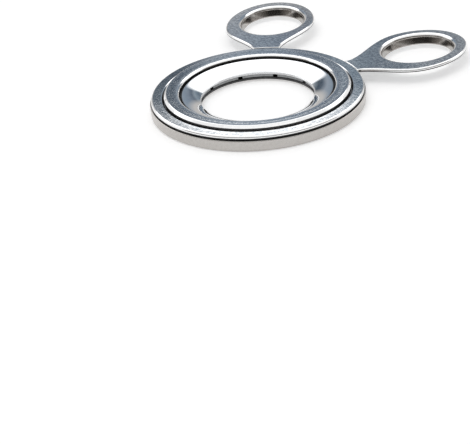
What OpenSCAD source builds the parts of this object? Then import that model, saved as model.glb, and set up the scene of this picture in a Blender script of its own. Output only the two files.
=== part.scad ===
// Egg topper with finger-loop handles, in millimetres.
// Squeezing the loops together turns the rim and the cam ring against the cup,
// and ten small blades swing out of the wall and into the egg like an iris.
// The origin is the centre of the egg opening, on the plane that the cup's foot rests on.

/* [Egg opening] */
// Radius of the opening in the dish
hole_r = 17; // [16.8:0.05:17.1]
// Radius of the opening in the cup's floor
floor_hole_r = 17.2; // [17.1:0.05:17.3]

/* [Ring stack] */
// Outer radius of the turning rim
rim_r = 32; // [31.9:0.05:32.1]
// Outer radius of the cup's skirt
skirt_r = 32.4; // [32.3:0.05:32.5]
// Height of the cup's skirt
skirt_h = 3.4; // [3.2:0.05:3.4]
// Height of the rim's top face above the foot
rim_top = 4.9; // [4.85:0.05:5]
// Thickness of the rim
rim_t = 1.2; // [1.1:0.05:1.2]
// Height of the raised hub ring's top face
hub_top = 6.15; // [6:0.05:6.4]
// Thickness of the thin pressed sheet
sheet_t = 0.6; // [0.5:0.05:0.6]

/* [Handles] */
// Angle between the two handles when open
open_angle = 61.3; // [60.5:0.1:75]
// Distance from the ring's axis to the middle of a finger loop
loop_reach = 53.6; // [52:0.1:56]
// Half length of a finger loop
loop_long = 17.45; // [17:0.05:18]
// Half width of a finger loop
loop_wide = 14.2; // [13.9:0.05:14.5]
// Half length of the finger hole at the top face
grip_long = 12.8; // [12:0.05:13]
// Half width of the finger hole at the top face
grip_wide = 11.15; // [10.5:0.05:11.4]
// Angle by which each loop leans towards the other
loop_lean = 10.7; // [8:0.1:13]
// Height of the handles' top face above the foot
handle_top = 4.75; // [4.7:0.05:4.9]
// Thickness of the handle sheet
handle_t = 1.1; // [1:0.05:1.1]
// Depth of the turned-down wall round the finger hole
grip_depth = 3.45; // [3:0.05:3.6]

/* [Blades] */
// Number of blades in the ring
blade_count = 10; // [10]
// Radius of the circle of blade pivots
pivot_circle_r = 21.3; // [21.3]
// Full turn of the rim when the handles are squeezed
squeeze_travel = 30; // [20:0.5:30]
// Turn of a blade for each degree that the rim turns
blade_ratio = 0.8; // [0.75:0.01:0.8]
// Thickness of a blade
blade_t = 0.7; // [0.6:0.05:0.7]

/* [Hidden] */
function node_name(kind, i) = str(kind, i < 10 ? "_0" : "_", i);

$fn = 96;
overlap = 1;                                // how far a cutting body runs past the faces it cuts

// Heights of the stack, from the foot up.
floor_z = 0.6;
floor_t = 0.7;
blade_z = floor_z + floor_t + 0.15;
blade_top = blade_z + blade_t;
web_z = 2.35;
web_t = 0.8;
band_t = 0.8;
rim_z = rim_top - rim_t;
flange_z = 3.6;
handle_z = handle_top - handle_t;

// Cup.
wall_t = 0.8;
foot_in_r = 30;
foot_step = 0.6;
corner_r = 0.8;
hole_edge = 0.2;

// Dish and hub ring.
lip_z = 2.6;                                // middle height of the rolled lip
dish_out_r = 23.4;
crest_z = 5.05;
crest_r = 0.4;
hub_r = 27.9;
hub_in_r = 23.95;
hub_outer_round = 0.7;
hub_inner_round = 1.35;
hub_skirt_z = 3.3;
flange_out_r = 27.2;

// Rim.
rim_in_r = 28.5;
rim_round = 0.55;
rim_under_round = 0.2;

// Cam ring.
stud_r = 1;
shoulder_r = 1.45;
stud_head_r = 1.7;
stud_head_z = 0.15;
running_gap = 0.1;
cam_bore_r = pivot_circle_r + shoulder_r + running_gap;
cam_out_r = 31.1;
pin_r = 0.8;
pin_collar_r = 1.2;
pin_top = 3.25;
slot_half = pin_r + 0.08;
slot_steps = 12;

// Blades, each drawn with its pivot at the origin and the ring's axis at -pivot_circle_r.
eye_r = 1.9;
pin_eye_r = 1.5;
bore_r = stud_r + 0.05;
tip = [-6.5, 9.5];
pin_at = [2.2, -6.5];
blade_inner_r = 17.45;
blade_outer_r = 14;
blade_shoulder = [1.46, 1.22];
heel_angle = 1.5;

// Handles, each drawn along +X, with the other handle on the -Y side.
edge_round = 0.55;
root_round = 0.2;
under_round = 0.25;
round_fade = 2;
grip_round = 1.1;
grip_draft = 0.6;
grip_wall = 0.9;
loop_shift = [0, -0.25];
grip_shift = [1.7, -0.65];
near_leave = -80;                           // where the neck leaves the oval, on the near side
far_leave = 118;                            // and on the far side
near_root_angle = -7.9;
far_root_angle = 6.1;
foot_z = 0.9;
root_gap = 0.02;

// ---------- plane geometry ----------

function turn(p, a) = [p.x * cos(a) - p.y * sin(a), p.x * sin(a) + p.y * cos(a)];
function polar(r, a) = [r * cos(a), r * sin(a)];
function unit(v) = v / norm(v);
function cross2(a, b) = a.x * b.y - a.y * b.x;
function arc(c, r, a0, a1, n = 6) = [for (i = [0:n]) c + polar(r, a0 + (a1 - a0) * i / n)];
function bezier(a, b, c, d, n) =
    [for (i = [0:n - 1]) let (t = i / n, s = 1 - t)
        s * s * s * a + 3 * s * s * t * b + 3 * s * t * t * c + t * t * t * d];
function smooth(t) = let (u = min(1, max(0, t))) u * u * (3 - 2 * u);

// Circle through two points, bulging to the right of the way from a to b.
function chord_centre(a, b, r) =
    let (m = (a + b) / 2, d = b - a, h = sqrt(r * r - d * d / 4), u = unit(d)) m + h * [u.y, -u.x];

// ---------- cup ----------

module base_cup() {
    wall_in = skirt_r - wall_t;
    inner_fillet = 0.5;
    floor_top = floor_z + floor_t;
    step = foot_step;
    outline = concat(
        [[floor_hole_r + hole_edge, floor_z], [foot_in_r - step, floor_z], [foot_in_r, 0]],
        arc([skirt_r - corner_r, corner_r], corner_r, -90, 0),
        arc([skirt_r - hole_edge, skirt_h - hole_edge], hole_edge, 0, 90, 3),
        [[wall_in, skirt_h]],
        arc([wall_in - inner_fillet, floor_t + inner_fillet], inner_fillet, 0, -90),
        [[foot_in_r + 0.3, floor_t], [foot_in_r - 0.3, floor_top]],
        arc([floor_hole_r + hole_edge, floor_top - hole_edge], hole_edge, 90, 180, 3),
        arc([floor_hole_r + hole_edge, floor_z + hole_edge], hole_edge, 180, 270, 3));
    color("lightsteelblue") difference() {
        rotate_extrude() polygon(outline);
        at_pivots() translate([0, 0, floor_z - overlap]) cylinder(r = stud_r + 0.02, h = floor_t + 2 * overlap);
    }
}

module at_pivots() {
    for (i = [0:blade_count - 1]) rotate([0, 0, i * 360 / blade_count]) translate([pivot_circle_r, 0, 0]) children();
}

// ---------- dish, hub ring and studs ----------

// Middle line of the dish's slope: a shallow arc that steepens towards the crest.
slope_in = [hole_r + sheet_t / 2, lip_z];
slope_out = [dish_out_r - crest_r - 0.15, crest_z - sheet_t / 2 - 0.05];
slope_arc_r = 24;
slope_c = chord_centre(slope_out, slope_in, slope_arc_r);
function slope_angle(p) = atan2((p - slope_c).y, (p - slope_c).x);
function slope(side, n = 8) =
    arc(slope_c, slope_arc_r - side * sheet_t / 2, slope_angle(slope_in), slope_angle(slope_out), n);

module dish() {
    in_angle = slope_angle(slope_in);
    flange_top = flange_z + sheet_t;
    wall_r = dish_out_r - sheet_t;
    under = slope(-1);
    outline = concat(
        arc(slope_in, sheet_t / 2, in_angle, in_angle - 180),
        slope(1),
        arc([dish_out_r - crest_r, crest_z - crest_r], crest_r, 90, 0, 5),
        arc([dish_out_r + 0.15, flange_top + 0.15], 0.15, 180, 270, 3),
        [[flange_out_r, flange_top], [flange_out_r, flange_z], [wall_r + 0.3, flange_z]],
        arc([wall_r + 0.3, flange_z + 0.3], 0.3, 270, 180, 4),
        [[wall_r, crest_z - sheet_t - 0.35]],
        [for (i = [len(under) - 1:-1:1]) under[i]]);
    color("gainsboro") rotate_extrude() polygon(outline);
}

// The space below the dish, which cuts the studs to its slope.
module under_dish() {
    under = slope(-1);
    rotate_extrude() polygon(concat([[hole_r, 0], [dish_out_r, 0], [dish_out_r, crest_z - 2 * sheet_t]],
                                    [for (i = [len(under) - 1:-1:0]) under[i] - [0, 0.01]]));
}

module hub_ring() {
    outer_c = [hub_r - hub_outer_round, hub_top - hub_outer_round];
    inner_c = [hub_in_r + hub_inner_round, hub_top - hub_inner_round];
    foot = flange_z + sheet_t;
    outline = concat(
        [[hub_r, hub_skirt_z]],
        arc(outer_c, hub_outer_round, 0, 90),
        arc(inner_c, hub_inner_round, 90, 180, 8),
        [[hub_in_r, foot], [hub_in_r + sheet_t, foot]],
        arc(inner_c, hub_inner_round - sheet_t, 180, 90, 8),
        arc(outer_c, hub_outer_round - sheet_t, 90, 0, 3),
        [[hub_r - sheet_t, hub_skirt_z]]);
    color("silver") rotate_extrude() polygon(outline);
}

module pivot_studs() {
    color("darkgray") for (i = [0:blade_count - 1])
        rotate([0, 0, i * 360 / blade_count]) intersection() {
            translate([pivot_circle_r, 0, 0]) rotate_extrude($fn = 48) polygon([
                [0, stud_head_z], [stud_head_r - 0.3, stud_head_z], [stud_head_r, stud_head_z + 0.25],
                [stud_head_r, floor_z], [stud_r, floor_z], [stud_r, blade_top + 0.05],
                [shoulder_r, blade_top + 0.05], [shoulder_r, crest_z], [0, crest_z]]);
            under_dish();
        }
}

// ---------- turning rim ----------

module rim_ring() {
    outline = concat(
        arc([rim_r - rim_round, rim_top - rim_round], rim_round, 0, 90),
        arc([rim_in_r + rim_round, rim_top - rim_round], rim_round, 90, 180),
        arc([rim_in_r + rim_under_round, rim_z + rim_under_round], rim_under_round, 180, 270, 3),
        arc([rim_r - rim_under_round, rim_z + rim_under_round], rim_under_round, 270, 360, 3));
    color("silver") rotate_extrude() polygon(outline);
}

// Where a blade's pin lies in the cam ring, when the rim has turned by the angle t.
function slot_point(t) = turn([pivot_circle_r, 0] + turn(pin_at, blade_ratio * t), -t);
function slot_side(t, side) =
    let (d = unit(slot_point(t + 0.1) - slot_point(t - 0.1))) slot_point(t) + side * slot_half * [-d.y, d.x];

module slot() {
    stops = [for (i = [0:slot_steps]) i * squeeze_travel / slot_steps];
    translate([0, 0, web_z - overlap]) {
        linear_extrude(web_t + 2 * overlap) polygon(concat(
            [for (t = stops) slot_side(t, -1)],
            [for (i = [slot_steps:-1:0]) slot_side(stops[i], 1)]));
        for (t = [0, squeeze_travel])
            translate(slot_point(t)) cylinder(r = slot_half, h = web_t + 2 * overlap, $fn = 32);
    }
}

module cam_ring() {
    web_top = web_z + web_t;
    band_z = rim_z - band_t;
    outline = [[cam_bore_r, web_z], [28.3, web_z], [28.85, band_z], [cam_out_r, band_z],
               [cam_out_r, rim_z], [28.6, rim_z], [28.05, web_top], [cam_bore_r, web_top]];
    color("slategray") difference() {
        rotate_extrude() polygon(outline);
        for (i = [0:blade_count - 1]) rotate([0, 0, i * 360 / blade_count]) slot();
    }
}

// ---------- blades and their pins ----------

module blade_outline_solid() {
    axis = [-pivot_circle_r, 0];
    outer_c = chord_centre(tip, blade_shoulder, blade_outer_r);
    outer_a = [for (p = [blade_shoulder, tip]) atan2((p - outer_c).y, (p - outer_c).x)];
    tip_angle = atan2(tip.y, tip.x + pivot_circle_r);
    arm = unit(pin_at);
    side = [-arm.y, arm.x];
    linear_extrude(blade_t) polygon(concat(
        arc(outer_c, blade_outer_r, outer_a[0], outer_a[1], 10),
        arc(axis, blade_inner_r, tip_angle, heel_angle, 10),
        [polar(eye_r, 200)], [polar(0.5, 0)]));
    linear_extrude(blade_t) polygon([side * eye_r, pin_at + side * pin_eye_r,
                                     pin_at - side * pin_eye_r, -side * eye_r]);
    cylinder(r = eye_r, h = blade_t, $fn = 48);
    translate(pin_at) cylinder(r = pin_eye_r, h = blade_t, $fn = 48);
}

module at_blade(i) {
    rotate([0, 0, (i - 1) * 360 / blade_count]) translate([pivot_circle_r, 0, 0]) children();
}

module blade(i) {
    color("lightgray") at_blade(i) translate([0, 0, blade_z]) difference() {
        blade_outline_solid();
        translate([0, 0, -overlap]) cylinder(r = bore_r, h = blade_t + 2 * overlap, $fn = 48);
        translate([pin_at.x, pin_at.y, -overlap]) cylinder(r = pin_r + 0.01, h = blade_t + 2 * overlap, $fn = 48);
    }
}

// A pin stands in its blade, with a collar on the blade and a chamfered top in the slot.
module cam_pin(i) {
    color("dimgray") at_blade(i) translate(pin_at) rotate_extrude($fn = 48) polygon([
        [0, blade_z], [pin_r, blade_z], [pin_r, blade_top], [pin_collar_r, blade_top],
        [pin_collar_r, blade_top + 0.12], [pin_r, blade_top + 0.12], [pin_r, pin_top - 0.15],
        [pin_r - 0.15, pin_top], [0, pin_top]]);
}

// ---------- handles ----------

loop_c = [loop_reach, 0] + loop_shift;
grip_c = [loop_reach, 0] + turn(grip_shift, -loop_lean);
function oval(t) = loop_c + turn([loop_long * cos(t), loop_wide * sin(t)], -loop_lean);
function oval_way(t) = unit(turn([-loop_long * sin(t), loop_wide * cos(t)], -loop_lean));

// The handle's outline, anticlockwise from the root's near corner: near side of the neck,
// round the loop, far side of the neck, and back along the root's arc.
function handle_outline(root_r, neck_n = 9, loop_n = 38, root_n = 5) =
    let (near = polar(root_r, near_root_angle), far = polar(root_r, far_root_angle))
    concat(
        bezier(near, near + polar(6.5, -4), oval(near_leave) - 9 * oval_way(near_leave), oval(near_leave), neck_n),
        [for (i = [0:loop_n - 1]) oval(near_leave + (far_leave - near_leave) * i / loop_n)],
        bezier(oval(far_leave), oval(far_leave) + 6 * oval_way(far_leave), far + polar(6, 22), far, neck_n),
        [for (i = [0:root_n - 1]) polar(root_r, far_root_angle + (near_root_angle - far_root_angle) * i / root_n)]);

// Outward mitre vector at each point of a closed outline.
function mitres(p) = let (n = len(p)) [for (i = [0:n - 1])
    let (a = unit(p[i] - p[(i + n - 1) % n]), b = unit(p[(i + 1) % n] - p[i]), na = [a.y, -a.x], nb = [b.y, -b.x])
    (na + nb) / (1 + na * nb)];

// Point of the finger hole's oval that lies in the direction of p, moved in by d.
function grip_point(p, d) =
    let (w = turn(p - grip_c, loop_lean), t = atan2(w.y / grip_wide, w.x / grip_long))
    grip_c + turn([(grip_long - d) * cos(t), (grip_wide - d) * sin(t)], -loop_lean);

function lift(p, z) = [p.x, p.y, z];

// Closed section of the sheet from the outline's point p to the finger hole, edge first.
function handle_section(p, m, r, low) =
    let (top = handle_top, under = handle_z, deep = handle_top - grip_depth)
    concat(
        [for (a = [0:30:90]) lift(p - m * r * (1 - sin(a)), top - r * (1 - cos(a)))],
        [lift(p, low + under_round), lift(p - m * under_round, low), lift(p - m * 0.9, low), lift(p - m * 1.2, under)],
        [lift(grip_point(p, -0.45), under), lift(grip_point(p, 0), under - 0.2),
         lift(grip_point(p, grip_round - grip_wall), under - 0.6),
         lift(grip_point(p, grip_round + grip_draft - grip_wall), deep + 0.2),
         lift(grip_point(p, grip_round + grip_draft - grip_wall + 0.2), deep),
         lift(grip_point(p, grip_round + grip_draft - 0.3), deep),
         lift(grip_point(p, grip_round + grip_draft), deep + 0.4)],
        [for (a = [90:-30:0]) lift(grip_point(p, grip_round * sin(a)), top - grip_round * (1 - cos(a)))]);

// One solid handle. Where drop is true, its root turns down along the cup's skirt.
module handle_sheet(root_r, drop) {
    line = handle_outline(root_r);
    m = mitres(line);
    n = len(line);
    rings = [for (i = [0:n - 1])
        let (away = norm(line[i]) - root_r,
             r = root_round + (edge_round - root_round) * smooth(away / round_fade),
             side = atan2(line[i].y, line[i].x),
             at_root = abs(away) < 0.01 && side > near_root_angle + 0.1 && side < far_root_angle - 0.1)
        handle_section(line[i], m[i], r, drop && at_root ? foot_z : handle_z)];
    k = len(rings[0]);
    points = [for (ring = rings) each ring];
    faces = [for (i = [0:n - 1], j = [0:k - 1])
        let (a = i * k + j, b = i * k + (j + 1) % k, c = ((i + 1) % n) * k + (j + 1) % k, d = ((i + 1) % n) * k + j)
        each [[a, b, c], [a, c, d]]];
    polyhedron(points, faces);
}

module upper_handle() {
    color("silver") rotate([0, 0, 90 - open_angle / 2]) mirror([0, 1, 0]) handle_sheet(rim_r + root_gap / 2, false);
}

module lower_handle() {
    color("silver") rotate([0, 0, 90 + open_angle / 2]) handle_sheet(skirt_r + root_gap, true);
}

// ---------- nodes ----------

base_cup();
lower_handle();
dish();
hub_ring();
pivot_studs();
rim_ring();
upper_handle();
cam_ring();
for (i = [1:blade_count]) {
    blade(i);
    cam_pin(i);
}
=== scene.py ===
"""Egg topper with finger-loop handles: the looks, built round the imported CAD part.

Sizes are in millimetres until mesh_object turns them into metres. The rings are profiles of (radius, height) points
that are turned round the axis, and each handle is a section that is swept along the loop's outline.
"""

from math import atan2, cos, degrees, hypot, pi, radians, sin, sqrt

import bpy
from mathutils import Matrix, Vector


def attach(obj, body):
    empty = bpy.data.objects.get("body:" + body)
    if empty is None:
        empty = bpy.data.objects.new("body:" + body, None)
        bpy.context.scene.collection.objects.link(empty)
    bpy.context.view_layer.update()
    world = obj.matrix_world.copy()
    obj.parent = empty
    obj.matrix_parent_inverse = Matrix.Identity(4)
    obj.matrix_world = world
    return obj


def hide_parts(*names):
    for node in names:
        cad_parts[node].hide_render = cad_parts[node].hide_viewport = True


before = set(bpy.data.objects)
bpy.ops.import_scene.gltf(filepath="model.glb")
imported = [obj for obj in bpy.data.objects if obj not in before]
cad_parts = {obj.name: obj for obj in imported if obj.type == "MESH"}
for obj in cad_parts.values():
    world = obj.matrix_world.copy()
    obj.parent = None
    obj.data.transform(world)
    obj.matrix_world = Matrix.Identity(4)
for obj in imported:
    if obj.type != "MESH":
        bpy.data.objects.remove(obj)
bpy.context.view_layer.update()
MM = 0.001

# ---------- camera ----------

IMAGE_W, IMAGE_H = 470, 444
FOCAL_PX = 1773.6
DISTANCE = 532.1
ELEVATION = radians(24.05)
ROLL = radians(4.76)
AIM_PX = (257.27, 89.58)            # where the middle of the rim's top face lies in the picture
HANDLES_TURN = radians(36.75)       # the part's turn about its axis, against the camera
RIM_TOP = 4.9


def make_camera():
    """Camera at the photograph's angle. It looks past the part, which lies high in the picture."""
    centre = Vector((0, -DISTANCE * cos(ELEVATION), DISTANCE * sin(ELEVATION)))
    forward = Vector((0, cos(ELEVATION), -sin(ELEVATION)))
    right = Vector((1, 0, 0))
    up = right.cross(forward)
    looking = Matrix((right, up, forward))
    aim = Vector(((AIM_PX[0] - IMAGE_W / 2) / FOCAL_PX, -(AIM_PX[1] - IMAGE_H / 2) / FOCAL_PX, 1)).normalized()
    swing = Vector((0, 0, 1)).rotation_difference(aim).to_matrix()
    rows = swing @ Matrix.Rotation(ROLL, 3, "Z") @ looking
    turn = Matrix.Rotation(HANDLES_TURN, 3, "Z")
    data = bpy.data.cameras.new("camera")
    data.sensor_fit = "HORIZONTAL"
    data.sensor_width = 36
    data.lens = FOCAL_PX / IMAGE_W * data.sensor_width
    data.clip_start, data.clip_end = 0.01, 100
    cam = bpy.data.objects.new("camera", data)
    bpy.context.scene.collection.objects.link(cam)
    m = Matrix((turn @ rows[0], turn @ rows[1], turn @ -rows[2])).transposed().to_4x4()
    m.translation = (turn @ centre + Vector((0, 0, RIM_TOP))) * MM
    cam.matrix_world = m
    bpy.context.scene.camera = cam


make_camera()

# ---------- plane geometry, in millimetres and degrees ----------


def polar(r, a):
    return Vector((r * cos(radians(a)), r * sin(radians(a))))


def turned(p, a):
    a = radians(a)
    return Vector((p[0] * cos(a) - p[1] * sin(a), p[0] * sin(a) + p[1] * cos(a)))


def points(*pairs):
    return [Vector(p) for p in pairs]


def arc(c, r, a0, a1, n=10):
    return ellipse(c, r, r, a0, a1, n)


def ellipse(c, half_w, half_h, a0, a1, n):
    angles = [radians(a0 + (a1 - a0) * i / n) for i in range(n + 1)]
    return [Vector((c[0] + half_w * cos(a), c[1] + half_h * sin(a))) for a in angles]


def chord_centre(a, b, r):
    """Centre of the circle through a and b that bulges to the left of the way from a to b."""
    middle, d = (a + b) / 2, b - a
    h = sqrt(r * r - d.length_squared / 4)
    u = d.normalized()
    return middle + h * Vector((u.y, -u.x))


def bezier(a, b, c, d, n):
    """n points of the curve, without its last."""
    out = []
    for i in range(n):
        t, s = i / n, 1 - i / n
        out.append(s ** 3 * a + 3 * s * s * t * b + 3 * s * t * t * c + t ** 3 * d)
    return out


def smooth(t):
    t = min(1, max(0, t))
    return t * t * (3 - 2 * t)


def long_runs(line, longest=0.35):
    """The numbers of the long straight runs in a closed line."""
    n = len(line)
    return [i for i in range(n) if (line[(i + 1) % n] - line[i]).length > longest]


def held(line, runs, inset=0.03):
    """The closed line with a point near each end of the given runs, so that shading stays flat along them."""
    out = []
    for i, p in enumerate(line):
        out.append(p)
        if i in runs:
            q = line[(i + 1) % len(line)]
            f = min(0.3, inset / max((q - p).length, inset))
            out += [p.lerp(q, f), p.lerp(q, 1 - f)]
    return out


# ---------- meshes ----------


def mesh_object(name, verts, faces):
    mesh = bpy.data.meshes.new(name)
    mesh.from_pydata([Vector(v) * MM for v in verts], [], faces)
    mesh.validate()
    mesh.update()
    for p in mesh.polygons:
        p.use_smooth = True
    ob = bpy.data.objects.new(name, mesh)
    bpy.context.scene.collection.objects.link(ob)
    return ob


def tube_faces(n_rings, n_points):
    """The faces of a closed chain of rings of points."""
    faces = []
    for i in range(n_rings):
        m = (i + 1) % n_rings
        for j in range(n_points):
            k = (j + 1) % n_points
            faces.append((i * n_points + j, m * n_points + j, m * n_points + k, i * n_points + k))
    return faces


def lathe(name, outline, segments=288):
    """Closed ring: the outline of (radius, height) points, turned round the axis."""
    line = held(outline, long_runs(outline))
    verts = []
    for i in range(segments):
        a = 2 * pi * i / segments
        verts += [(p.x * cos(a), p.x * sin(a), p.y) for p in line]
    return mesh_object(name, verts, tube_faces(segments, len(line)))


def dressed(ob, node, body, material=None):
    """A piece that stands for a CAD node, on that node's body."""
    if material:
        ob.data.materials.append(material)
    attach(ob, body)
    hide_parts(node)
    return ob


# ---------- shader helpers ----------


def new_material(name):
    m = bpy.data.materials.new(name)
    m.use_nodes = True
    nodes, links = m.node_tree.nodes, m.node_tree.links
    nodes.clear()
    out = nodes.new("ShaderNodeOutputMaterial")
    bsdf = nodes.new("ShaderNodeBsdfPrincipled")
    links.new(bsdf.outputs[0], out.inputs[0])
    return m, nodes, links, bsdf


def noise(nodes, links, vector, scale, detail, roughness):
    n = nodes.new("ShaderNodeTexNoise")
    n.inputs["Scale"].default_value = scale
    n.inputs["Detail"].default_value = detail
    n.inputs["Roughness"].default_value = roughness
    links.new(vector, n.inputs["Vector"])
    return n.outputs[0]


def spread(nodes, links, value, lo, hi, to_lo=0, to_hi=1):
    """Value from lo..hi to to_lo..to_hi, clamped."""
    n = nodes.new("ShaderNodeMapRange")
    for key, v in (("From Min", lo), ("From Max", hi), ("To Min", to_lo), ("To Max", to_hi)):
        n.inputs[key].default_value = v
    links.new(value, n.inputs["Value"])
    return n.outputs[0]


def math_node(nodes, links, kind, a, b=0):
    n = nodes.new("ShaderNodeMath")
    n.operation = kind
    for i, v in enumerate((a, b)):
        if isinstance(v, (int, float)):
            n.inputs[i].default_value = v
        else:
            links.new(v, n.inputs[i])
    return n.outputs[0]


def mixed_colour(nodes, links, factor, a, b):
    n = nodes.new("ShaderNodeMix")
    n.data_type = "RGBA"
    links.new(factor, n.inputs["Factor"])
    for key, v in (("A", a), ("B", b)):
        socket = [s for s in n.inputs if s.name == key and s.type == "RGBA"][0]
        if isinstance(v, tuple):
            socket.default_value = v + (1,)
        else:
            links.new(v, socket)
    return [s for s in n.outputs if s.type == "RGBA"][0]


def flatness(nodes, links):
    """1 on faces that look straight up or down, 0 on rounded edges and walls."""
    geo = nodes.new("ShaderNodeNewGeometry")
    split = nodes.new("ShaderNodeSeparateXYZ")
    links.new(geo.outputs["True Normal"], split.inputs[0])
    up = math_node(nodes, links, "ABSOLUTE", split.outputs[2])
    return spread(nodes, links, up, 0.985, 0.998)


# ---------- steels ----------

GRAIN, PATCH = 0.75, 6              # sizes of the grain and of the wider patches in the finish
MID_NOISE = (0.35, 0.65)            # the range that holds most of the grain's noise
FLECKS_ON_EDGE = 0.15               # how much of the grain still shows on a polished edge


def steel(name, dark, light, rough_flat, rough_edge, bump_mm, edge=None):
    """Steel whose flats carry a fine mottled grain from dark to light. Its rounded edges are polished, in the edge
    colour where one is given."""
    m, nodes, links, bsdf = new_material(name)
    bsdf.inputs["Metallic"].default_value = 1
    at = nodes.new("ShaderNodeTexCoord").outputs["Object"]
    flat = flatness(nodes, links)
    mottle = noise(nodes, links, at, 1 / (GRAIN * MM), 4, 0.6)
    patch = noise(nodes, links, at, 1 / (PATCH * MM), 2, 0.5)

    colour = mixed_colour(nodes, links, spread(nodes, links, mottle, *MID_NOISE), dark, light)
    if edge:
        trace = spread(nodes, links, mottle, *MID_NOISE, 0, FLECKS_ON_EDGE)
        polished = mixed_colour(nodes, links, trace, edge, dark)
        colour = mixed_colour(nodes, links, flat, polished, colour)
    links.new(colour, bsdf.inputs["Base Color"])

    rough = nodes.new("ShaderNodeMix")
    links.new(flat, rough.inputs["Factor"])
    rough.inputs[2].default_value = rough_edge
    links.new(spread(nodes, links, patch, 0.3, 0.7, rough_flat * 0.8, rough_flat * 1.2), rough.inputs[3])
    links.new(rough.outputs[0], bsdf.inputs["Roughness"])

    bump = nodes.new("ShaderNodeBump")
    bump.inputs["Distance"].default_value = bump_mm * MM
    links.new(math_node(nodes, links, "MULTIPLY", mottle, flat), bump.inputs["Height"])
    links.new(bump.outputs[0], bsdf.inputs["Normal"])
    return m


def grey(v):
    return (v, v, v)


satin = steel("satin_steel", (0.44, 0.475, 0.51), grey(0.88), 0.12, 0.05, 0.03, edge=grey(0.88))
handle_satin = steel("handle_steel", (0.42, 0.44, 0.47), grey(0.84), 0.14, 0.05, 0.03, edge=grey(0.86))
grip_steel = steel("grip_steel", (0.46, 0.44, 0.42), (0.54, 0.52, 0.50), 0.13, 0.13, 0.002)
mirror = steel("mirror_steel", (0.74, 0.75, 0.765), (0.76, 0.77, 0.78), 0.05, 0.04, 0.001)
cup_steel = steel("cup_steel", (0.48, 0.46, 0.44), (0.52, 0.50, 0.48), 0.25, 0.22, 0.003)
# The cam ring's and the blades' steels are partly their own tone and partly painted shade, darkened for the shadowed
# inside of the cup.
inner = steel("inner_steel", (0.36, 0.37, 0.39), (0.44, 0.45, 0.47), 0.4, 0.35, 0.006)
blade_steel = steel("blade_steel", (0.20, 0.205, 0.21), (0.28, 0.285, 0.29), 0.28, 0.2, 0.006)
# Painted shade: near-black steel for the faces that lie in gaps, under the rim and inside the cup.
painted_shade_steel = steel("painted_shade_steel", (0.05, 0.05, 0.052), (0.09, 0.09, 0.092), 0.45, 0.4, 0.006)
pin_steel = steel("pin_steel", (0.48, 0.49, 0.51), (0.56, 0.57, 0.59), 0.3, 0.22, 0.004)

# ---------- rings ----------

SHEET = 0.6                         # thickness of the dish's and the hub ring's sheet

# Dish: the middle line of its slope runs on a shallow arc from the rolled lip up to the crest.
HOLE_R, LIP_Z = 17, 2.6
SLOPE_IN, SLOPE_OUT = Vector((HOLE_R + SHEET / 2, LIP_Z)), Vector((22.5, 4.64))
SLOPE_R = 18
SLOPE_C = chord_centre(SLOPE_IN, SLOPE_OUT, SLOPE_R)
CREST_C, CREST_R = (22.65, 4.62), 0.35
DISH_WALL_R, DISH_WALL_TOP = 22.5, 4        # inside of the short wall below the crest
FLANGE_R, FLANGE_TOP = 27.2, 4.2
FLANGE_FILLET = 0.15

# Hub ring: a hat-shaped ring whose top dips a little from its outer corner to its bore.
HUB_R, HUB_FOOT = 27.9, 3.3
HUB_SHOULDER_R, HUB_SHOULDER_EDGE = 28.07, 0.12
HUB_SHOULDER_Z = (4.4, 4.6, 5.33)           # heights where the shoulder leaves the wall, is out in full, and rounds off
HUB_CORNER_C, HUB_CORNER_R = (27.2, 5.65), 0.5
HUB_TOP = ((26.95, 6.125), (26.6, 6.105), (26.2, 6.092), (25.7, 6.088), (25.2, 6.075), (24.8, 6.055), (24.5, 6.03))
HUB_ROLL, HUB_ROLL_Z = (0.8, 0.76), 5.25    # half width, half height and middle height of the rolled inner edge
HUB_BORE, HUB_BORE_FOOT, HUB_BORE_BACK = 23.47, 4.3, 24.55
HUB_INSIDE_TOP, HUB_INSIDE_EDGE, HUB_INSIDE_ROLL = 5.55, 0.1, 0.4

# Rim: a flat ring with rounded edges, whose top falls a little towards the outside.
RIM_R, RIM_BORE, RIM_UNDER = 32, 28.5, 3.7
RIM_EDGE, RIM_UNDER_EDGE = 0.55, 0.2
RIM_EDGE_Z, RIM_EDGE_FOOT = 4.287, 4.1
RIM_TOP_RISE = ((31.0, 4.846), (30.4, 4.858), (29.8, 4.87))
RIM_ROUND_ENDS = (88.6, 87.6)               # where the two roundings run into the falling top

# Cup: a floor with its opening, a flat foot round it, and an upright skirt.
FLOOR_HOLE_R, HOLE_EDGE = 17.2, 0.2
FLOOR_UNDER, FLOOR_T = 0.6, 0.7
FOOT_IN_R, STEP_SHIFT = 30, 0.3             # the step from foot to floor slopes at 45 degrees, above as below
SKIRT_R, SKIRT_WALL, SKIRT_TOP = 32.4, 0.8, 3.4
SKIRT_CORNER, SKIRT_INSIDE_CORNER, SKIRT_TOP_EDGE = 0.8, 0.5, 0.2


def slope_angle(p):
    d = p - SLOPE_C
    return degrees(atan2(d.y, d.x))


def slope(side, n=28):
    """The top (side 1) or the underside (side -1) of the dish's slope, from the lip outwards."""
    return arc(SLOPE_C, SLOPE_R + side * SHEET / 2, slope_angle(SLOPE_IN), slope_angle(SLOPE_OUT), n)


def dish_outline():
    lip_angle = slope_angle(SLOPE_IN)
    half = SHEET / 2
    wall_out_r = CREST_C[0] + CREST_R
    flange_under = FLANGE_TOP - SHEET
    return (arc(SLOPE_IN, half, lip_angle + 180, lip_angle, 16) + slope(1) + arc(CREST_C, CREST_R, 90, 0)
            + arc((wall_out_r + FLANGE_FILLET, FLANGE_TOP + FLANGE_FILLET), FLANGE_FILLET, 180, 270, 5)
            + points((FLANGE_R, FLANGE_TOP), (FLANGE_R, flange_under))
            + arc((DISH_WALL_R + half, flange_under + half), half, 270, 180, 6)
            + points((DISH_WALL_R, DISH_WALL_TOP)) + slope(-1)[-2:0:-1])


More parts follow.
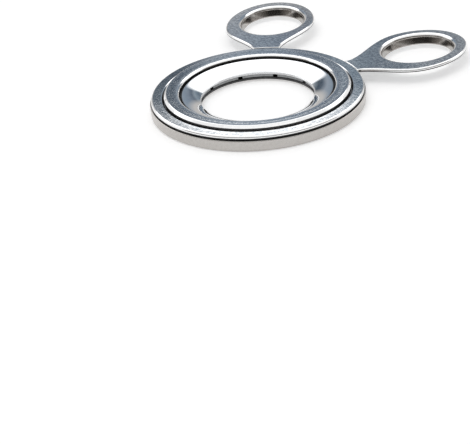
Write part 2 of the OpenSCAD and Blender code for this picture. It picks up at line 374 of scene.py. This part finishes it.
def hub_outline():
    low, high, edge_z = HUB_SHOULDER_Z
    inside_r = HUB_R - SHEET
    roll_c = (HUB_BORE + HUB_ROLL[0], HUB_ROLL_Z)
    inside_roll_c = (HUB_BORE_BACK + HUB_INSIDE_ROLL, HUB_INSIDE_TOP - HUB_INSIDE_ROLL)
    inside_edge_c = (inside_r - HUB_INSIDE_EDGE, HUB_INSIDE_TOP - HUB_INSIDE_EDGE)
    return (points((HUB_R, HUB_FOOT), (HUB_R, low), (HUB_SHOULDER_R, high))
            + arc((HUB_SHOULDER_R - HUB_SHOULDER_EDGE, edge_z), HUB_SHOULDER_EDGE, 0, 40, 4)
            + arc(HUB_CORNER_C, HUB_CORNER_R, 40, 90) + points(*HUB_TOP) + ellipse(roll_c, *HUB_ROLL, 98, 180, 18)
            + points((HUB_BORE, HUB_BORE_FOOT), (HUB_BORE_BACK, HUB_BORE_FOOT), (HUB_BORE_BACK, inside_roll_c[1]))
            + arc(inside_roll_c, HUB_INSIDE_ROLL, 180, 90, 8)
            + arc(inside_edge_c, HUB_INSIDE_EDGE, 90, 0, 4) + points((inside_r, HUB_FOOT)))


def rim_outline():
    outer, bore = (RIM_R - RIM_EDGE, RIM_EDGE_Z), (RIM_BORE + RIM_EDGE, RIM_TOP - RIM_EDGE)
    low = RIM_UNDER + RIM_UNDER_EDGE
    return (points((RIM_R, RIM_EDGE_FOOT)) + arc(outer, RIM_EDGE, 0, RIM_ROUND_ENDS[0], 16) + points(*RIM_TOP_RISE)
            + arc(bore, RIM_EDGE, RIM_ROUND_ENDS[1], 180, 16)
            + arc((RIM_BORE + RIM_UNDER_EDGE, low), RIM_UNDER_EDGE, 180, 270, 6)
            + arc((RIM_R - RIM_UNDER_EDGE, low), RIM_UNDER_EDGE, 270, 360, 6))


def cup_outline():
    hole_x = FLOOR_HOLE_R + HOLE_EDGE
    floor_top = FLOOR_UNDER + FLOOR_T
    step_r = FOOT_IN_R + STEP_SHIFT
    inside_r = SKIRT_R - SKIRT_WALL
    return (points((hole_x, FLOOR_UNDER), (FOOT_IN_R - FLOOR_UNDER, FLOOR_UNDER), (FOOT_IN_R, 0))
            + arc((SKIRT_R - SKIRT_CORNER, SKIRT_CORNER), SKIRT_CORNER, -90, 0, 14)
            + arc((SKIRT_R - SKIRT_TOP_EDGE, SKIRT_TOP - SKIRT_TOP_EDGE), SKIRT_TOP_EDGE, 0, 90, 6)
            + points((inside_r, SKIRT_TOP))
            + arc((inside_r - SKIRT_INSIDE_CORNER, FLOOR_T + SKIRT_INSIDE_CORNER), SKIRT_INSIDE_CORNER, 0, -90, 8)
            + points((step_r, FLOOR_T), (step_r - FLOOR_UNDER, floor_top))
            + arc((hole_x, floor_top - HOLE_EDGE), HOLE_EDGE, 90, 180, 6)
            + arc((hole_x, FLOOR_UNDER + HOLE_EDGE), HOLE_EDGE, 180, 270, 6)[:-1])


def rim_gap(r, z):
    """The rim's underside, and the lower part of its bore."""
    return z < 4.12 or r < 28.62 and z < 4.3


def hub_gap(r, z):
    """The hub ring's outer wall behind the rim, its bore beside the dish, and its inside."""
    outer_wall = r > 27.2 and z < 5.36
    bore = r < 23.7 and z < 5.4
    inside = 23.7 < r < 27.3 and z < 5.2 or 24.5 < r < 27.3 and z < 5.6
    return outer_wall or bore or inside


def dish_gap(r, z):
    """The outside of the wall below the crest, and the flange."""
    return r > 22.72 and z < 4.96 or r > 22.3 and z < 4.1


def cup_gap(r, z):
    """The cup's inside, round the blades."""
    return 0.65 < z < 3.3 and r < 31.8


def shade_gap(ob, inside):
    """The faces that lie where inside(radius, height) is true take the near-black steel, which paints the shade in the
    narrow gaps and hollows between the pieces.
    """
    ob.data.materials.append(painted_shade_steel)
    for f in ob.data.polygons:
        c = f.center / MM
        if inside(hypot(c.x, c.y), c.z):
            f.material_index = 1


rim = dressed(lathe("rim", rim_outline()), "rim_ring", "rim", satin)
hub = dressed(lathe("hub", hub_outline()), "hub_ring", "cup", satin)
bowl = dressed(lathe("dish_bowl", dish_outline()), "dish", "cup", mirror)
cup = dressed(lathe("cup_body", cup_outline()), "base_cup", "cup", cup_steel)
# Painted shade: the faces in these gaps and hollows take the near-black steel.
shade_gap(rim, rim_gap)
shade_gap(hub, hub_gap)
shade_gap(bowl, dish_gap)
shade_gap(cup, cup_gap)

# ---------- handles ----------

# A handle is drawn along +X, in degrees about its own middle, and then turned and flipped into place.
OPEN_ANGLE = 61.3                   # angle between the two handles at rest
LOOP, GRIP = (17.45, 14.2), (12.8, 11.15)       # half length and half width of the loop and of its finger hole
LEAN = -10.7
LOOP_C = Vector((53.6, -0.25))
GRIP_C = Vector((53.6, 0)) + turned((1.7, -0.65), LEAN)
TOP, UNDER, DEEP = 4.75, 3.65, 1.3              # heights of the top, of the underside and of the finger wall's foot
EDGE, ROOT_EDGE, FADE = 0.55, 0.2, 2            # the edge's rounding along the handle and at the root, and its run-out
GRIP_ROUND, DRAFT, WALL = 1.1, 0.6, 0.9         # the finger hole's rounding, its wall's lean and its thickness
UNDER_EDGE, SHADE_TOP = 0.25, 4.06              # the rounding below, and how far up the outer edge lies in shade

# The neck leaves the oval of the loop at these bearings, and meets the ring at those.
NEAR_LEAVE, FAR_LEAVE = -80, 118
NEAR_ROOT, FAR_ROOT = -7.9, 6.1
NEAR_ROOT_PULL, NEAR_LOOP_PULL = polar(6.5, -4), 9
FAR_ROOT_PULL, FAR_LOOP_PULL = polar(6, 22), 6

# The upper handle butts on the rim's edge. The lower one lies outside the skirt and has a turned-down root.
UPPER_ROOT_R, LOWER_ROOT_R = 32.01, 32.42
ROOT_LOW = 0.9                      # the foot of the turned-down root
ROOT_SHADE_TOP, ROOT_SHADE_W = 4.66, 0.15       # the part of that root that lies in the gap's shade
FLAT_RUN, HOLD = 0.8, 0.05          # the least length of a section's flat run, and how near its ends it is held


def oval(t):
    return LOOP_C + turned((LOOP[0] * cos(radians(t)), LOOP[1] * sin(radians(t))), LEAN)


def oval_way(t):
    """The direction in which the oval runs on at t."""
    return turned((-LOOP[0] * sin(radians(t)), LOOP[1] * cos(radians(t))), LEAN).normalized()


def handle_outline(root_r, neck_n=26, loop_n=130, root_n=14):
    """The closed outer line of a handle: near side of the neck, loop, far side of the neck, root."""
    near, far = polar(root_r, NEAR_ROOT), polar(root_r, FAR_ROOT)
    into, out_of = oval(NEAR_LEAVE), oval(FAR_LEAVE)
    line = bezier(near, near + NEAR_ROOT_PULL, into - NEAR_LOOP_PULL * oval_way(NEAR_LEAVE), into, neck_n)
    line += [oval(NEAR_LEAVE + (FAR_LEAVE - NEAR_LEAVE) * i / loop_n) for i in range(loop_n)]
    line += bezier(out_of, out_of + FAR_LOOP_PULL * oval_way(FAR_LEAVE), far + FAR_ROOT_PULL, far, neck_n)
    line += [polar(root_r, FAR_ROOT + (NEAR_ROOT - FAR_ROOT) * i / root_n) for i in range(root_n)]
    return line


def mitres(line):
    """For each point, the outward step that moves both of its runs out by one."""
    out = []
    n = len(line)
    for i, p in enumerate(line):
        a, b = (p - line[i - 1]).normalized(), (line[(i + 1) % n] - p).normalized()
        na, nb = Vector((a.y, -a.x)), Vector((b.y, -b.x))
        out.append((na + nb) / (1 + na.dot(nb)))
    return out


def grip_point(p, d):
    """The point on the finger hole's oval, shrunk by d, that faces the outline's point p."""
    w = turned(p - GRIP_C, -LEAN)
    t = atan2(w.y / GRIP[1], w.x / GRIP[0])
    return GRIP_C + turned(((GRIP[0] - d) * cos(t), (GRIP[1] - d) * sin(t)), LEAN)


def handle_section(p, m, r, low):
    """Closed line through the sheet: over the outer edge, rounded by r, and down to low, under the sheet to the finger
    hole, round the foot of its wall and up over its rounding. p is the outline's point and m its mitre. The short
    steps between are the pressed sheet's small inner roundings."""
    def outer(inset, z):
        q = p - m * inset
        return Vector((q.x, q.y, z))

    def grip(inset, z):
        q = grip_point(p, inset)
        return Vector((q.x, q.y, z))

    back = GRIP_ROUND - WALL        # the wall's outside, at its top
    foot = GRIP_ROUND + DRAFT       # the wall's inside, at its foot
    corner = UNDER_EDGE * (1 - sin(radians(45)))
    over_edge = [outer(r * (1 - sin(radians(a))), TOP - r * (1 - cos(radians(a)))) for a in range(0, 91, 9)]
    below = [outer(0, SHADE_TOP), outer(0, low + UNDER_EDGE), outer(corner, low + corner), outer(UNDER_EDGE, low),
             outer(0.9, low), outer(1.2, UNDER)]
    wall = [grip(-0.45, UNDER), grip(-0.15, UNDER - 0.05), grip(0.05, UNDER - 0.25), grip(back, UNDER - 0.6),
            grip(back + DRAFT, DEEP + 0.2), grip(back + DRAFT + 0.06, DEEP + 0.06), grip(back + DRAFT + 0.2, DEEP),
            grip(foot - 0.3, DEEP), grip(foot - 0.09, DEEP + 0.1), grip(foot, DEEP + 0.4)]
    rounding = [grip(GRIP_ROUND * sin(radians(a)), TOP - GRIP_ROUND * (1 - cos(radians(a)))) for a in range(90, -1, -6)]
    return over_edge + below + wall + rounding


def handle_mesh(name, root_r, turned_down, turn, flip):
    line = handle_outline(root_r)
    sections = []
    for p, m in zip(line, mitres(line)):
        away = p.length - root_r
        r = ROOT_EDGE + (EDGE - ROOT_EDGE) * smooth(away / FADE)
        inside_root = NEAR_ROOT + 0.1 < degrees(atan2(p.y, p.x)) < FAR_ROOT - 0.1
        low = ROOT_LOW if turned_down and abs(away) < 0.01 and inside_root else UNDER
        sections.append(handle_section(p, m, r, low))
    runs = long_runs(sections[len(sections) // 2], FLAT_RUN)
    verts = []
    for s in sections:
        for v in held(s, runs, HOLD):
            q = turned((v.x, -v.y if flip else v.y), turn)
            verts.append((q.x, q.y, v.z))
    k = len(verts) // len(sections)
    faces = tube_faces(len(sections), k)
    if not flip:
        faces = [f[::-1] for f in faces]
    ob = mesh_object(name, verts, faces)
    for look in (handle_satin, grip_steel, painted_shade_steel):
        ob.data.materials.append(look)
    for f in ob.data.polygons:
        r, z = hypot(f.center.x, f.center.y) / MM, f.center.z / MM
        on_outside = f.vertices[0] % k < k // 3
        on_finger_wall = f.vertices[0] % k > k // 3
        # Painted shade: the root's faces in the gap, and the outer edge below SHADE_TOP, take the near-black steel.
        in_gap = turned_down and r < root_r + ROOT_SHADE_W and z < ROOT_SHADE_TOP
        if in_gap or on_outside and z < SHADE_TOP:
            f.material_index = 2
        elif on_finger_wall and z < TOP - 0.5 and f.normal.z > -0.3:
            f.material_index = 1
    return ob


right_loop = handle_mesh("right_loop", UPPER_ROOT_R, False, 90 - OPEN_ANGLE / 2, True)
dressed(right_loop, "upper_handle", "rim")
left_loop = handle_mesh("left_loop", LOWER_ROOT_R, True, 90 + OPEN_ANGLE / 2, False)
dressed(left_loop, "lower_handle", "cup")

# ---------- the inner mechanism keeps its CAD shapes ----------

# The blades and the cam ring take the darkened steels, which paint the shade inside the cup.
INNER_LOOKS = (("blade", blade_steel), ("cam_pin", pin_steel), ("pivot", pin_steel), ("cam_ring", inner))
for node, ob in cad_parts.items():
    for start, look in INNER_LOOKS:
        if node.startswith(start):
            ob.data.materials.clear()
            ob.data.materials.append(look)

# ---------- floor, world and lamp ----------

FLOOR_HALF = 3000
FLOOR_LIFT = 0.36                   # glow that brings the lit floor to white where it is seen
SKY_FILL = 0.62                     # the sky's strength as a light, where it isn't seen


def place(v):
    """A point in the photograph's frame, in millimetres, brought to the CAD frame."""
    v = Matrix.Rotation(HANDLES_TURN, 3, "Z") @ Vector(v)
    return (v.x, v.y, v.z)


def seen_ray(nodes, links):
    """1 for the rays that show a surface: straight from the camera, mirrored, or through something."""
    path = nodes.new("ShaderNodeLightPath")
    seen = math_node(nodes, links, "MAXIMUM", path.outputs["Is Camera Ray"], path.outputs["Is Glossy Ray"])
    return math_node(nodes, links, "MAXIMUM", seen, path.outputs["Is Transmission Ray"])


def make_floor():
    s = FLOOR_HALF
    ob = mesh_object("floor", [(-s, -s, 0), (s, -s, 0), (s, s, 0), (-s, s, 0)], [(0, 1, 2, 3)])
    m, nodes, links, bsdf = new_material("floor")
    bsdf.inputs["Base Color"].default_value = (0.86, 0.86, 0.86, 1)
    bsdf.inputs["Roughness"].default_value = 0.9
    bsdf.inputs["Specular IOR Level"].default_value = 0.2
    bsdf.inputs["Emission Color"].default_value = (1, 1, 1, 1)
    lift = math_node(nodes, links, "MULTIPLY", seen_ray(nodes, links), FLOOR_LIFT)
    links.new(lift, bsdf.inputs["Emission Strength"])
    ob.data.materials.append(m)


def make_world():
    world = bpy.data.worlds.new("world")
    bpy.context.scene.world = world
    world.use_nodes = True
    nodes, links = world.node_tree.nodes, world.node_tree.links
    sky = nodes["Background"]
    sky.inputs[0].default_value = (1, 1, 1, 1)
    links.new(spread(nodes, links, seen_ray(nodes, links), 0, 1, SKY_FILL, 1), sky.inputs[1])


def make_lamp():
    """A broad lamp above and to the left, for the soft shadow under the part."""
    lamp = bpy.data.lights.new("overhead", "AREA")
    lamp.shape = "DISK"
    lamp.size = 0.5
    lamp.energy = 1
    ob = bpy.data.objects.new("overhead", lamp)
    ob.location = Vector(place((-150, -50, 700))) * MM
    ob.rotation_euler = (-ob.location).to_track_quat("-Z", "Y").to_euler()
    bpy.context.scene.collection.objects.link(ob)


make_floor()
make_world()
make_lamp()

# ---------- what the steel reflects ----------

# Sheets in the photograph's frame, which only reflections see: y runs away from the camera, and z up.
WHITE, NEAR_WHITE = 1.85, 1.1
FAR_Y, FAR_HALF, FAR_FOOT, FAR_TOP = 150, 130, 2, 98
BOX_HALF, BOX_PEAK_Y, BOX_PEAK, BOX_NEAR_Y, BOX_NEAR = 400, -300, 520, -630, 350
BOX_FADE, BOX_END = (105, 240), 0.55        # heights between which the softbox fades, and what is left of it above
FLAG_R, FLAG_BEARINGS, FLAG_Z = 620, (-175, -5), (-30, 360)
FLAG_DARK, FLAG_SIDES = (0.025, 0.023, 0.021), (0.30, 0.28, 0.26)
FLAG_FADE = (25, 85)                # bearings from the middle between which the flag gets lighter

# The far card's colours across it, from left to right.
FAR_STOPS = ((-130, (0.8, 0.8, 0.8)), (-70, (0.7, 0.7, 0.7)), (-50, (0.2, 0.24, 0.28)), (-38, (0.05, 0.075, 0.105)),
             (-27, (0.07, 0.10, 0.14)), (-12, (0.34, 0.39, 0.45)), (2, (0.26, 0.325, 0.40)), (14, (0.22, 0.27, 0.34)),
             (25, (0.12, 0.155, 0.205)), (34, (0.29, 0.35, 0.41)), (42, (0.20, 0.26, 0.32)), (50, (0.13, 0.175, 0.23)),
             (66, (0.27, 0.31, 0.35)), (110, (0.29, 0.30, 0.33)), (130, (0.7, 0.7, 0.7)))
CLOUD, CLOUD_SIZE, CLOUD_SHARE = (0.4, 0.43, 0.46), 14, 0.25       # soft patches over those colours
LOW_GLOW, LOW_FADE = (0.62, 0.60, 0.58), (26, 48)                   # the light zone near the floor, and where it ends
WHITE_FADE = (87, 98)                                               # where the white above begins


def glowing(name):
    m, nodes, links, bsdf = new_material(name)
    nodes.remove(bsdf)
    e = nodes.new("ShaderNodeEmission")
    links.new(e.outputs[0], nodes["Material Output"].inputs[0])
    return m, nodes, links, e


def map_axes(nodes, links):
    """The sheet's map coordinates, whole and split."""
    at = nodes.new("ShaderNodeTexCoord").outputs["UV"]
    split = nodes.new("ShaderNodeSeparateXYZ")
    links.new(at, split.inputs[0])
    return at, split.outputs[0], split.outputs[1]


def glow(name, colour, strength, fade=None):
    """A glowing sheet. With fade as (colour, (from, to)) it changes to that colour between these two sizes of its
    first map coordinate."""
    m, nodes, links, e = glowing(name)
    e.inputs[0].default_value = colour + (1,)
    e.inputs[1].default_value = strength
    if fade:
        end_colour, ends = fade
        away = math_node(nodes, links, "ABSOLUTE", map_axes(nodes, links)[1])
        links.new(mixed_colour(nodes, links, spread(nodes, links, away, *ends), colour, end_colour), e.inputs[0])
    return m


def far_glow():
    """The far card: dark in the middle height, light near the floor, white above. It is mapped by x and z."""
    m, nodes, links, e = glowing("far_card")
    at, across, up = map_axes(nodes, links)
    ramp = nodes.new("ShaderNodeValToRGB")
    start, end = FAR_STOPS[0][0], FAR_STOPS[-1][0]
    links.new(spread(nodes, links, across, start, end), ramp.inputs[0])
    marks = ramp.color_ramp.elements
    for x, colour in FAR_STOPS:
        t = (x - start) / (end - start)
        mark = marks[0] if t == 0 else marks[-1] if t == 1 else marks.new(t)
        mark.color = colour + (1,)
    cloud = spread(nodes, links, noise(nodes, links, at, 1 / CLOUD_SIZE, 2, 0.5), 0.3, 0.7)
    share = math_node(nodes, links, "MULTIPLY", cloud, CLOUD_SHARE)
    dark = mixed_colour(nodes, links, share, ramp.outputs[0], CLOUD)
    low = mixed_colour(nodes, links, spread(nodes, links, up, *LOW_FADE), LOW_GLOW, dark)
    full = mixed_colour(nodes, links, spread(nodes, links, up, *WHITE_FADE), low, grey(WHITE))
    links.new(full, e.inputs[0])
    return m


def hung(ob, material, map_name=None, coordinates=None):
    """Makes ob a sheet that only reflections see. Its map coordinates are given for each point of the mesh."""
    if map_name:
        layer = ob.data.uv_layers.new(name=map_name)
        for loop in ob.data.loops:
            layer.data[loop.index].uv = coordinates[loop.vertex_index]
    ob.data.materials.append(material)
    ob.visible_camera = ob.visible_diffuse = ob.visible_shadow = ob.visible_transmission = False


def card(name, half, low_edge, high_edge):
    """A flat sheet between two level edges that are given as (y, z) and reach half to each side, and its corners."""
    (y0, z0), (y1, z1) = low_edge, high_edge
    corners = [(-half, y0, z0), (half, y0, z0), (half, y1, z1), (-half, y1, z1)]
    return mesh_object(name, [place(c) for c in corners], [(0, 1, 2, 3)]), corners


def curtain(name, radius, bearings, heights, material, steps=24):
    """An upright sheet bent round the part, from one bearing to another. It is mapped by the bearing from -90."""
    verts, coordinates = [], []
    for i in range(steps + 1):
        a = bearings[0] + (bearings[1] - bearings[0]) * i / steps
        p = polar(radius, a)
        verts += [place((p.x, p.y, z)) for z in heights]
        coordinates += [(a + 90, 0)] * 2
    faces = [(2 * i, 2 * i + 2, 2 * i + 3, 2 * i + 1) for i in range(steps)]
    hung(mesh_object(name, verts, faces), material, "bearing", coordinates)


flag_glow = glow("near_flag", FLAG_DARK, 1, fade=(FLAG_SIDES, FLAG_FADE))
box_glow = glow("softbox", grey(1), WHITE, fade=(grey(BOX_END), BOX_FADE))
near_box_glow = glow("near_softbox", grey(1), NEAR_WHITE)
far, corners = card("far_card", FAR_HALF, (FAR_Y, FAR_FOOT), (FAR_Y, FAR_TOP))
hung(far, far_glow(), "place", [(x, z) for x, _, z in corners])
box, corners = card("softbox", BOX_HALF, (FAR_Y, FAR_TOP), (BOX_PEAK_Y, BOX_PEAK))
hung(box, box_glow, "height", [(z, 0) for _, _, z in corners])
hung(card("near_softbox", BOX_HALF, (BOX_PEAK_Y, BOX_PEAK), (BOX_NEAR_Y, BOX_NEAR))[0], near_box_glow)
curtain("near_flag", FLAG_R, FLAG_BEARINGS, FLAG_Z, flag_glow)

bpy.context.scene.view_settings.view_transform = "Standard"
